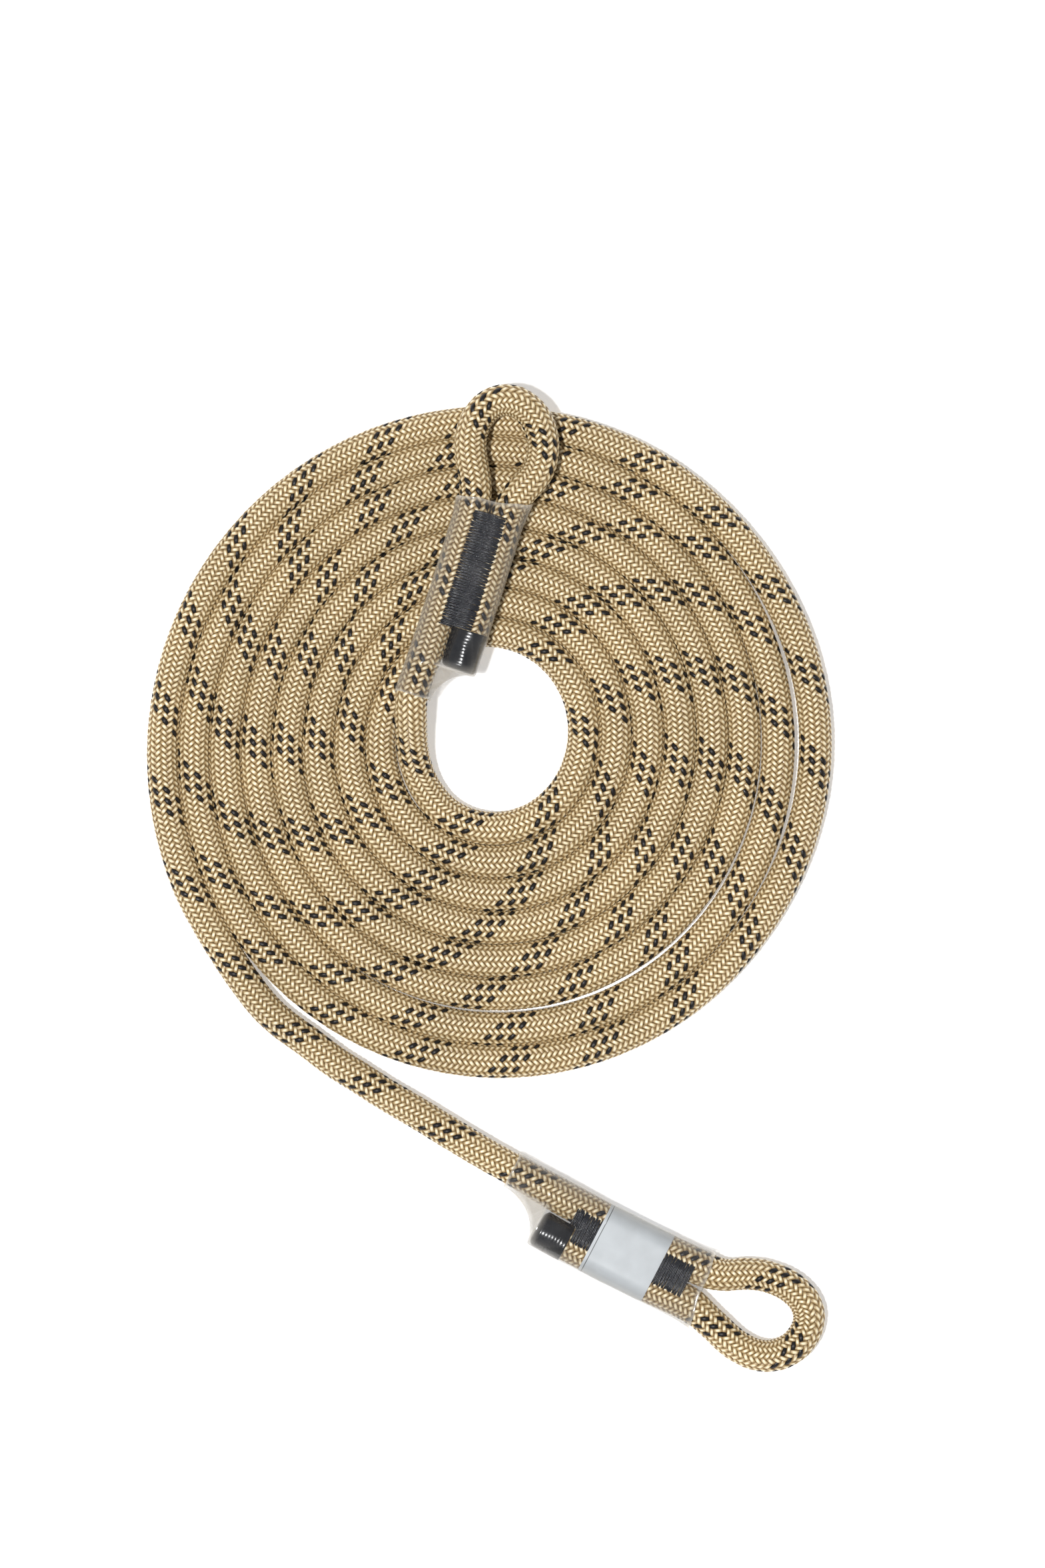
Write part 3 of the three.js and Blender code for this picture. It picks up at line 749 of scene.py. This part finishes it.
def wrap_legs(name, end, stations, thickness, ripple, fringe):
    """A closed shell round an end's legs, extruded ring by ring and given its thickness.

    A station is (along, first leg's place and radius, second leg's place and radius, cloud), where
    cloud is how milky a web between the legs is. The fringe is how far the mouths' edges wander.
    """
    bpy.ops.object.select_all(action="DESELECT")
    bpy.ops.mesh.primitive_circle_add(vertices=OUTLINE_COUNT, radius=1, location=(0, 0, 0))
    piece = bpy.context.object
    piece.name = piece.data.name = name
    bpy.ops.object.mode_set(mode="EDIT")
    bpy.ops.mesh.select_all(action="SELECT")
    for _ in stations[1:]:
        bpy.ops.mesh.extrude_region_move(TRANSFORM_OT_translate={"value": (0, 0, 1)})
    bpy.ops.object.mode_set(mode="OBJECT")
    mesh = piece.data
    rings, steeps = [], []
    first, last = stations[0][0], stations[-1][0]
    for along, *circles, cloud in stations:
        outline, steep = legs_outline(*circles)
        steep = np.maximum(steep, np.where(outline[:, 0] > 5.5, cloud, 0))
        turn = np.arange(OUTLINE_COUNT) / OUTLINE_COUNT * FULL_TURN
        middle = outline.mean(axis=0)
        away = outline - middle
        swell = ripple * (np.sin(along * 0.9 + 3 * turn) + np.sin(along * 0.43 - 2 * turn + 1.7)) / 2
        outline = outline + away / np.linalg.norm(away, axis=1)[:, None] * swell[:, None]
        mouth = max(0, 1 - (along - first) / 3, 1 - (last - along) / 3)
        column = along + fringe * mouth * (0.6 * np.sin(3 * turn + 0.6) + 0.4 * np.sin(7 * turn + 2))
        slant = 3.2 * fringe * max(0, 1 - (last - along) / 8)
        column = column + slant * (outline[:, 0] / end["spacing"] - 0.15)
        rings.append(end_points(end, np.stack([column, outline[:, 0], outline[:, 1]], axis=1)))
        steeps.append(steep)
    places, steeps = in_row(np.array(rings)), np.array(steeps)
    sides = mesh.attributes.new("side", "FLOAT", "POINT")
    at = {}
    for vertex in mesh.vertices:
        ring = round(vertex.co.z)
        step = round(math.atan2(vertex.co.y, vertex.co.x) / FULL_TURN * OUTLINE_COUNT) % OUTLINE_COUNT
        at[vertex.index] = (ring, step)
        vertex.co = places[ring, step]
        sides.data[vertex.index].value = steeps[ring, step]
    lengths = mesh.uv_layers.new(name="Length")
    for polygon in mesh.polygons:
        steps = [at[mesh.loops[loop].vertex_index] for loop in polygon.loop_indices]
        wraps = {step for _, step in steps} >= {0, OUTLINE_COUNT - 1}
        for loop, (ring, step) in zip(polygon.loop_indices, steps):
            around = OUTLINE_COUNT if wraps and step == 0 else step
            share = (stations[ring][0] - first) / (last - first)
            lengths.uv[loop].vector = (share, around / OUTLINE_COUNT)
    bpy.ops.object.mode_set(mode="EDIT")
    bpy.ops.mesh.select_all(action="SELECT")
    bpy.ops.mesh.normals_make_consistent(inside=False)
    bpy.ops.object.mode_set(mode="OBJECT")
    solidify = piece.modifiers.new("wall", "SOLIDIFY")
    solidify.thickness, solidify.offset = thickness * MM, -1
    smooth = piece.modifiers.new("smooth", "SUBSURF")
    smooth.levels = smooth.render_levels = 1
    for modifier in ("wall", "smooth"):
        bpy.ops.object.modifier_apply(modifier=modifier)
    bpy.ops.object.shade_smooth_by_angle(angle=math.radians(50))
    return piece


def sleeve_stations(end, film):
    """Where the film runs: narrow round one leg, out in a web over the cap, then round both legs."""
    narrow, wide, spacing = film.narrow_radius / MM, film.wide_radius / MM * end["swell"], end["spacing"]
    cap_start, cap_end = end["cap"]
    web_end, cap_radius = cap_start - 0.7, film.cap_radius / MM * end["swell"] + 0.35
    full_edge, narrow_edge = spacing + cap_radius, narrow + 0.22
    stations = []
    for share in (0.0, 0.12, 0.25, 0.4, 0.54, 0.66, 0.76, 0.84, 0.9, 0.945, 0.975, 0.992, 1.0):
        edge = narrow_edge + (full_edge - narrow_edge) * (1 - math.sqrt(1 - share * share))
        second = 1.3 + (cap_radius - 1.3) * share ** 5
        first = narrow + (wide - narrow) * share
        stations.append((web_end * share, 0.0, first, edge - second, second, min(0.8, 2.4 * share)))
    stations.append((cap_start + 1.2, 0.0, wide, spacing, cap_radius, 0.0))
    stations.append((cap_end - 0.8, 0.0, wide, spacing, cap_radius, 0.0))
    for along in np.arange(cap_end + 2.2, end["sleeve"] - 11, 3.6):
        stations.append((float(along), 0.0, wide, spacing, wide, 0.0))
    for share in (0.0, 0.25, 0.5, 0.75, 0.93, 1.0):
        spread = share ** 1.6
        stations.append((end["sleeve"] - 9 + 9 * share, -0.5 * spread, wide + 0.2 * spread,
                         spacing + 1.1 * spread, wide + 0.2 * spread, 0.0))
    return stations


def cap_piece(end, film):
    """A ridged black cap, extruded ring by ring from its closed end, with a lip and a hollow."""
    radius, bore = film.cap_radius / MM * end["swell"], 6.45
    start, mouth = end["cap"]
    length = mouth - start
    rings = [(0.0, 2.6), (0.1, 5.0), (0.42, 6.05), (1.0, 6.62), (1.7, radius - 0.08)]
    along, index = 2.3, 0
    while along < length - 1.0:
        rings.append((along, radius + (0.05 if index % 2 == 0 else -0.09)))
        along += film.ridge_pitch / MM / 2
        index += 1
    rings += [(length - 0.5, radius), (length - 0.12, radius - 0.06), (length, radius - 0.22),
              (length, bore + 0.06), (length - 0.3, bore), (1.5, bore - 0.35), (1.15, bore - 0.8),
              (1.05, 2.6)]
    bpy.ops.object.select_all(action="DESELECT")
    bpy.ops.mesh.primitive_circle_add(vertices=48, radius=rings[0][1], fill_type="NGON", location=(0, 0, 0))
    piece = bpy.context.object
    piece.name = piece.data.name = f"{end['name']}_cap"
    bpy.ops.object.mode_set(mode="EDIT")
    bpy.ops.mesh.select_all(action="SELECT")
    bpy.ops.mesh.inset(thickness=1.3, depth=0)
    bpy.ops.mesh.select_all(action="SELECT")
    bpy.ops.mesh.region_to_loop()
    for (last_along, last_radius), (next_along, next_radius) in zip(rings, rings[1:]):
        bpy.ops.mesh.extrude_region_move(
            TRANSFORM_OT_translate={"value": (0, 0, next_along - last_along)})
        share = next_radius / last_radius
        bpy.ops.transform.resize(value=(share, share, 1), center_override=(0, 0, next_along))
    bpy.ops.mesh.edge_face_add()
    bpy.ops.mesh.select_all(action="SELECT")
    bpy.ops.mesh.normals_make_consistent(inside=False)
    bpy.ops.object.mode_set(mode="OBJECT")
    places = np.array([v.co for v in piece.data.vertices])
    turn = np.arctan2(places[:, 1], places[:, 0])
    crimp = 1 + 0.012 * np.sin(3 * turn + 0.8) + 0.006 * np.sin(7 * turn + places[:, 2] * 0.5)
    right, up = places[:, 0] * crimp, places[:, 1] * crimp
    tilt = 0.035 * right * np.clip(1 - places[:, 2] / 6, 0, 1)
    local = np.stack([start + places[:, 2] + tilt, end["spacing"] - right, up], axis=1)
    placed = in_row(end_points(end, local))
    for vertex, place in zip(piece.data.vertices, placed):
        vertex.co = place
    smooth = piece.modifiers.new("smooth", "SUBSURF")
    smooth.levels = smooth.render_levels = 1
    bpy.ops.object.modifier_apply(modifier="smooth")
    bpy.ops.object.shade_smooth_by_angle(angle=math.radians(40))
    return piece


SEWN_HEIGHT = 6.42  # of the threads' top stretches above the plane of the legs


def thread_block(name, end, side, film, seed):
    """Sewn block over the valley between the legs: threads laid crosswise, plunging at both sides."""
    draw = np.random.default_rng(seed)
    begin, finish = end["stitching"]
    radius, sides = film.thread_width / MM / 2, 6
    pitch = film.thread_pitch / MM
    count = int((finish - begin) / pitch)
    shares = np.array([0, 0.045, 0.12, 0.3, 0.5, 0.7, 0.88, 0.955, 1.0])
    drops = np.array([-1.15, -0.3, 0.0, 0.02, -0.12, 0.02, 0.0, -0.3, -1.15])
    points, quads, caps, maps, cap_maps = [], [], [], [], []
    for index in range(count):
        along = begin + 0.25 + index * pitch
        beside_cap = along < end["cap"][1] + 0.4
        ends = np.array([end["sewn"][0], end["spacing"] / 2 - 0.4 if beside_cap else end["sewn"][1]])
        ends += draw.uniform(-0.35, 0.35, 2)
        slant = draw.uniform(-0.22, 0.22) + (0.18 if index % 2 else -0.18)
        lift = draw.uniform(-0.06, 0.08)
        right = ends[0] + (ends[1] - ends[0]) * shares
        line = np.stack([along + slant * (shares - 0.5) + draw.uniform(-0.05, 0.05), right,
                         side * (SEWN_HEIGHT + lift + drops)], axis=1)
        ahead = np.gradient(line, axis=0)
        ahead /= np.linalg.norm(ahead, axis=1)[:, None]
        out = np.cross(np.cross(ahead, (0, 0, 1)), ahead)
        out /= np.linalg.norm(out, axis=1)[:, None]
        beside = np.cross(ahead, out)
        turn = np.arange(sides) / sides * FULL_TURN
        ring = (line[:, None] + radius * (np.cos(turn)[None, :, None] * beside[:, None]
                                          + np.sin(turn)[None, :, None] * out[:, None]))
        first = index * len(line) * sides
        points.append(ring.reshape(-1, 3))
        steps = np.arange(len(line) - 1)[:, None] * sides
        here, beyond = steps + np.arange(sides), steps + (np.arange(sides) + 1) % sides
        quads.append(np.stack([here, beyond, beyond + sides, here + sides], axis=-1).reshape(-1, 4) + first)
        last = first + (len(line) - 1) * sides
        caps.append([[first, first + 3, first + 2, first + 1], [first, first + 5, first + 4, first + 3],
                     [last, last + 1, last + 2, last + 3], [last, last + 3, last + 4, last + 5]])
        place = np.empty((len(line) - 1, sides, 4, 2))
        place[..., 0, 0] = place[..., 1, 0] = shares[:-1, None] * 14 + index * 3.1
        place[..., 2, 0] = place[..., 3, 0] = shares[1:, None] * 14 + index * 3.1
        place[..., 0, 1] = place[..., 3, 1] = np.arange(sides) / sides
        place[..., 1, 1] = place[..., 2, 1] = (np.arange(sides) + 1) / sides
        maps.append(place.reshape(-1, 2))
        cap_maps.append(np.zeros((16, 2)) + index * 3.1)
    placed = in_row(end_points(end, np.vstack(points)))
    faces = np.vstack(quads + caps)
    return face_mesh(name, placed, faces, flat=4 * count, maps={"Yarn": np.vstack(maps + cap_maps)})


# ---------- Settings ----------

class RopeBraidSettings(bpy.types.PropertyGroup):
    diameter: FloatProperty(
        name="Rope Diameter", description="Outside diameter of the braided rope",
        default=0.0127, min=0.002, unit="LENGTH")
    carriers: IntProperty(
        name="Carriers", description="Number of yarns in the braid, half of them in each lay",
        default=32, min=8)
    lay_length: FloatProperty(
        name="Lay Length", description="Length of rope in which a yarn goes once round",
        default=0.03576, min=0.005, unit="LENGTH")
    yarn_width: FloatProperty(
        name="Yarn Width", description="Width of one yarn on its float",
        default=0.00176, min=0.0002, unit="LENGTH")
    yarn_thickness: FloatProperty(
        name="Yarn Thickness", description="Thickness of one yarn",
        default=0.00095, min=0.0001, unit="LENGTH")
    weave_depth: FloatProperty(
        name="Weave Depth", description="How far a yarn rises and dips about its middle",
        default=0.00048, min=0.0, unit="LENGTH")
    # Crown and edge are lit and shaded copies of one tan: the crown colour is painted light on a yarn's
    # middle, the edge colour painted shade at its edges and dips.
    crown_colour: FloatVectorProperty(
        name="Yarn Crown", description="Colour along the middle of a yarn",
        default=(0.49, 0.34, 0.15), subtype="COLOR", min=0, max=1)
    edge_shade_colour: FloatVectorProperty(
        name="Yarn Edge", description="Colour at a yarn's edges",
        default=(0.18, 0.10, 0.035), subtype="COLOR", min=0, max=1)
    tracer_colour: FloatVectorProperty(
        name="Tracer", description="Colour of the three dark tracer yarns",
        default=(0.007, 0.006, 0.006), subtype="COLOR", min=0, max=1)
    # Painted shade: the inside is a dark brown that stands for the shade between the yarns.
    inside_shade_colour: FloatVectorProperty(
        name="Inside", description="Colour that shows between the yarns",
        default=(0.15, 0.08, 0.03), subtype="COLOR", min=0, max=1)


class EndSettings(bpy.types.PropertyGroup):
    narrow_radius: FloatProperty(
        name="Narrow Radius", description="Radius of the film round the single rope",
        default=0.0071, min=0.001, unit="LENGTH")
    wide_radius: FloatProperty(
        name="Wide Radius", description="Radius of the film round each of the two legs",
        default=0.00695, min=0.001, unit="LENGTH")
    film_thickness: FloatProperty(
        name="Film Thickness", description="Thickness of the clear film",
        default=0.00022, min=0.00005, unit="LENGTH")
    label_radius: FloatProperty(
        name="Label Radius", description="Radius of the label round each leg",
        default=0.00662, min=0.001, unit="LENGTH")
    label_thickness: FloatProperty(
        name="Label Thickness", description="Thickness of the paper label",
        default=0.00012, min=0.00005, unit="LENGTH")
    cap_radius: FloatProperty(
        name="Cap Radius", description="Outside radius of an end cap",
        default=0.00695, min=0.001, unit="LENGTH")
    ridge_pitch: FloatProperty(
        name="Ridge Pitch", description="Distance between the low ridges round a cap",
        default=0.00130, min=0.0002, unit="LENGTH")
    thread_width: FloatProperty(
        name="Thread Width", description="Thickness of the sewing thread",
        default=0.00054, min=0.0001, unit="LENGTH")
    thread_pitch: FloatProperty(
        name="Thread Pitch", description="Distance from one stitch to the next",
        default=0.00056, min=0.0001, unit="LENGTH")


class StageSettings(bpy.types.PropertyGroup):
    focal_length: FloatProperty(
        name="Focal Length", description="Focal length of the camera's lens",
        default=300.0, min=10, unit="CAMERA")
    view_height: FloatProperty(
        name="View Height", description="Length of floor that the long side of the view takes in",
        default=0.6047, min=0.05, unit="LENGTH")
    floor_colour: FloatVectorProperty(
        name="Floor", description="Colour of the floor",
        default=(0.94, 0.94, 0.94), subtype="COLOR", min=0, max=1)
    sky_strength: FloatProperty(
        name="Soft Light", description="Strength of the light from all round", default=0.30, min=0)
    key_strength: FloatProperty(
        name="Key Light", description="Strength of the light from the left", default=2.95, min=0)


# ---------- Operators ----------

TRACERS = (2, 4, 6)
MAIN_PARTS = 5  # pieces that the main length's yarns of one lay are in


KEY_DIRECTION = (0.2, 0.07, -1.0)
KEY_SPREAD = 4  # degrees across, for shadows with a slightly soft edge


class StageOperator(bpy.types.Operator):
    """Lay the floor, set the lights and point the camera straight down on the coil"""

    bl_idname = "rescue_rope.stage"
    bl_label = "Stage"

    def execute(self, context):
        stage = context.scene.rescue_rope_stage
        scene = context.scene
        scene.view_settings.view_transform = "Standard"
        target = in_row([[*VIEW_MIDDLE, FLOOR_LEVEL]])[0]
        camera = bpy.data.objects.new("camera", bpy.data.cameras.new("camera"))
        scene.collection.objects.link(camera)
        camera.data.sensor_width = 36
        camera.data.lens = stage.focal_length
        distance = stage.view_height * stage.focal_length / camera.data.sensor_width
        camera.location = Vector(target) + Vector((0, 0, distance))
        camera.data.clip_start, camera.data.clip_end = 0.05, 20
        scene.camera = camera

        bpy.ops.object.select_all(action="DESELECT")
        bpy.ops.mesh.primitive_plane_add(size=8, location=(0, 0, 0))
        floor = context.object
        floor.name = "floor"
        material, tree, shader = new_material("floor")
        spot = add(tree, "ShaderNodeTexCoord", (-600, 0))
        noise = add(tree, "ShaderNodeTexNoise", (-400, 0), Scale=3.0, Detail=2.0)
        tree.links.new(spot.outputs["Object"], noise.inputs["Vector"])
        paler = tuple(min(1.0, c * 1.01) for c in stage.floor_colour)
        tone = mix_colour(tree, (-100, 0), noise.outputs["Fac"], with_alpha(stage.floor_colour),
                          with_alpha(paler))
        tree.links.new(tone, shader.inputs["Base Color"])
        shader.inputs["Roughness"].default_value = 0.9
        shader.inputs["Specular IOR Level"].default_value = 0.0
        shader.inputs["Emission Color"].default_value = (1, 1, 1, 1)
        shader.inputs["Emission Strength"].default_value = 0.35
        floor.data.materials.append(material)

        world = bpy.data.worlds.new("studio")
        scene.world = world
        world.use_nodes = True
        world.node_tree.nodes["Background"].inputs["Color"].default_value = (1, 1, 1, 1)
        world.node_tree.nodes["Background"].inputs["Strength"].default_value = stage.sky_strength

        key = bpy.data.objects.new("key_light", bpy.data.lights.new("key_light", "SUN"))
        key.data.energy, key.data.angle = stage.key_strength, math.radians(KEY_SPREAD)
        key.rotation_euler = Vector(KEY_DIRECTION).to_track_quat("-Z", "Y").to_euler()
        scene.collection.objects.link(key)
        return {"FINISHED"}


def stands_for(name, *nodes):
    """Hide the CAD nodes that a finished piece replaces."""
    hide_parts(*nodes)


class RopeOperator(bpy.types.Operator):
    """Braid the rope along its whole route, in two lengths that meet under the inner end"""

    bl_idname = "rescue_rope.rope"
    bl_label = "Rope"

    def execute(self, context):
        settings = context.scene.rescue_rope_braid
        route = Route()
        carriers = settings.carriers // 2
        tan = [yarn for yarn in range(carriers) if yarn not in TRACERS]
        # The tint (1.0, 0.88, 0.61) is a painted highlight on each float's crest, and also the colour of the
        # light fibre streaks.
        yarn = yarn_material("rope_yarn", settings.crown_colour, settings.edge_shade_colour, 0.30,
                             (1.0, 0.88, 0.61), 0.05, 1.0, 0.75)
        # The tracer gets a faint painted highlight of the same kind, in a near-black tint.
        tracer = yarn_material("tracer_yarn", settings.tracer_colour, settings.tracer_colour, 0.34,
                               (0.03, 0.026, 0.026), 0.2, 0.2, 0.35)
        inside = body_material(settings.inside_shade_colour)
        lines = {}
        for length, begin, end, parts in (("inner", 0.0, route.cut, 1),
                                          ("main", route.cut, route.length, MAIN_PARTS)):
            body, line = tube_mesh(f"{length}_rope_inside", route, begin, end, INSIDE_RADIUS)
            tracers = braid_mesh(f"{length}_tracer_yarns", route, settings, begin, end, TRACERS, -1)
            body.data.materials.append(inside)
            tracers.data.materials.append(tracer)
            pieces = [body, tracers]
            bounds = np.linspace(begin, end, parts + 1)
            for part in range(parts):
                for lay, side, yarns in ((1, "left", range(carriers)), (-1, "right", tan)):
                    name = f"{length}_{side}_lay_yarns_{part + 1}"
                    piece = braid_mesh(name, route, settings, bounds[part], bounds[part + 1], yarns, lay)
                    piece.data.materials.append(yarn)
                    if length == "inner" or part == parts - 1:
                        pieces.append(piece)
                    else:
                        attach(piece, "coil")
                        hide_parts("rope_coil")
            for piece in pieces:
                if length == "inner":
                    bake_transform(piece)
                else:
                    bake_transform(piece)
            lines[length] = line
        for end, length in (("inner", "inner"), ("outer", "main")):
            nodes = [f"{end}_{part}" for part in ("standing_part", "eye", "return_leg")]
            last = 1 if length == "inner" else MAIN_PARTS
            for side in ("right", "left"):
                stands_for(f"{length}_{side}_lay_yarns_{last}", *(f"{n}_sheath" for n in nodes))
            stands_for(f"{length}_rope_inside", *(f"{n}_core" for n in nodes))
        stands_for("main_rope_inside", "rope_coil", "inner_turn_core", "tail_core")
        stands_for("main_right_lay_yarns_1", "inner_turn_sheath")
        stands_for("main_left_lay_yarns_1", "inner_turn_sheath")
        for side in ("right", "left"):
            stands_for(f"main_{side}_lay_yarns_{MAIN_PARTS}", "tail_sheath")
        for length, line in lines.items():
            bpy.data.objects[f"{length}_rope_inside"]["line"] = [float(x) for x in line.ravel()]
        return {"FINISHED"}


class CapsOperator(bpy.types.Operator):
    """Close each rope tip with its ridged black cap"""

    bl_idname = "rescue_rope.caps"
    bl_label = "End Caps"

    def execute(self, context):
        material = cap_material()
        for end in (INNER_END, OUTER_END):
            piece = cap_piece(end, context.scene.rescue_rope_ends)
            piece.data.materials.append(material)
            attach(piece, end["body"])
            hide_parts(f"{end['name']}_end_cap", f"{end['name']}_rope_tip")
        return {"FINISHED"}


class StitchingOperator(bpy.types.Operator):
    """Sew the two legs of each end together, on the upper and the lower side"""

    bl_idname = "rescue_rope.stitching"
    bl_label = "Stitching"

    def execute(self, context):
        material = thread_material()
        seed = 11
        for end in (INNER_END, OUTER_END):
            for side, word in ((1, "upper"), (-1, "lower")):
                name = f"{end['name']}_stitches_{word}"
                piece = thread_block(name, end, side, context.scene.rescue_rope_ends, seed)
                piece.data.materials.append(material)
                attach(piece, end["body"])
                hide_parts(f"{end['name']}_stitching_{word}")
                seed += 1
        return {"FINISHED"}


class LabelOperator(bpy.types.Operator):
    """Wrap the plain paper label round the outer end, under the film"""

    bl_idname = "rescue_rope.label"
    bl_label = "Label"

    def execute(self, context):
        ends = context.scene.rescue_rope_ends
        radius = ends.label_radius / MM * OUTER_END["swell"]
        stations = [(float(along), 0.0, radius, OUTER_END["spacing"], radius, 0.0)
                    for along in np.linspace(*LABEL_BAND, 9)]
        piece = wrap_legs("label_band", OUTER_END, stations, ends.label_thickness / MM, 0.02, 0.0)
        piece.data.materials.append(label_material())
        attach(piece, "outer_end")
        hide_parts("outer_label")
        return {"FINISHED"}


class SleevesOperator(bpy.types.Operator):
    """Shrink a clear film sleeve over the legs and the cap of each end"""

    bl_idname = "rescue_rope.sleeves"
    bl_label = "Film Sleeves"

    def execute(self, context):
        ends = context.scene.rescue_rope_ends
        material = film_material()
        for end in (INNER_END, OUTER_END):
            piece = wrap_legs(f"{end['name']}_film", end, sleeve_stations(end, ends),
                              ends.film_thickness / MM, 0.1, 0.7)
            piece.data.materials.append(material)
            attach(piece, end["body"])
            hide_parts(f"{end['name']}_sleeve")
        return {"FINISHED"}


class CordOperator(bpy.types.Operator):
    """Take the stored line off each of the rope's two inside pieces"""

    bl_idname = "rescue_rope.cords"
    bl_label = "Cord Facts"

    def execute(self, context):
        for length, end, lay in (("main", "outer", "coiled"), ("inner", "inner", "loose")):
            inside = bpy.data.objects[f"{length}_rope_inside"]
            del inside["line"]
            own = [f"{length}_tracer_yarns", f"{end}_cap", f"{end}_film", f"{end}_stitches_upper",
                   f"{end}_stitches_lower"]
            own += [o.name for o in context.scene.objects if o.name.startswith(f"{length}_")
                    and "_lay_yarns_" in o.name]
            own += ["label_band"] if end == "outer" else []
        return {"FINISHED"}


class RescueRopePanel(bpy.types.Panel):
    """The rope's sizes and the steps that make it"""

    bl_idname = "VIEW3D_PT_rescue_rope"
    bl_label = "Rescue Rope"
    bl_space_type = "VIEW_3D"
    bl_region_type = "UI"
    bl_category = "Rope"

    def draw(self, context):
        for settings in (context.scene.rescue_rope_stage, context.scene.rescue_rope_braid,
                         context.scene.rescue_rope_ends):
            box = self.layout.box()
            for name in settings.__annotations__:
                box.prop(settings, name)
        for operator in OPERATORS:
            self.layout.operator(operator.bl_idname)


OPERATORS = (StageOperator, RopeOperator, CapsOperator, StitchingOperator, LabelOperator,
             SleevesOperator, CordOperator)
CLASSES = (RopeBraidSettings, EndSettings, StageSettings, *OPERATORS, RescueRopePanel)


def register():
    for cls in CLASSES:
        bpy.utils.register_class(cls)
    bpy.types.Scene.rescue_rope_braid = PointerProperty(type=RopeBraidSettings)
    bpy.types.Scene.rescue_rope_ends = PointerProperty(type=EndSettings)
    bpy.types.Scene.rescue_rope_stage = PointerProperty(type=StageSettings)


def unregister():
    del bpy.types.Scene.rescue_rope_stage
    del bpy.types.Scene.rescue_rope_ends
    del bpy.types.Scene.rescue_rope_braid
    for cls in reversed(CLASSES):
        bpy.utils.unregister_class(cls)


def main():
    register()
    fibre_group()
    handling_group()
    bpy.ops.rescue_rope.stage()
    bpy.ops.rescue_rope.rope()
    bpy.ops.rescue_rope.caps()
    bpy.ops.rescue_rope.stitching()
    bpy.ops.rescue_rope.label()
    bpy.ops.rescue_rope.sleeves()
    bpy.ops.rescue_rope.cords()


if __name__ == "__main__":
    main()
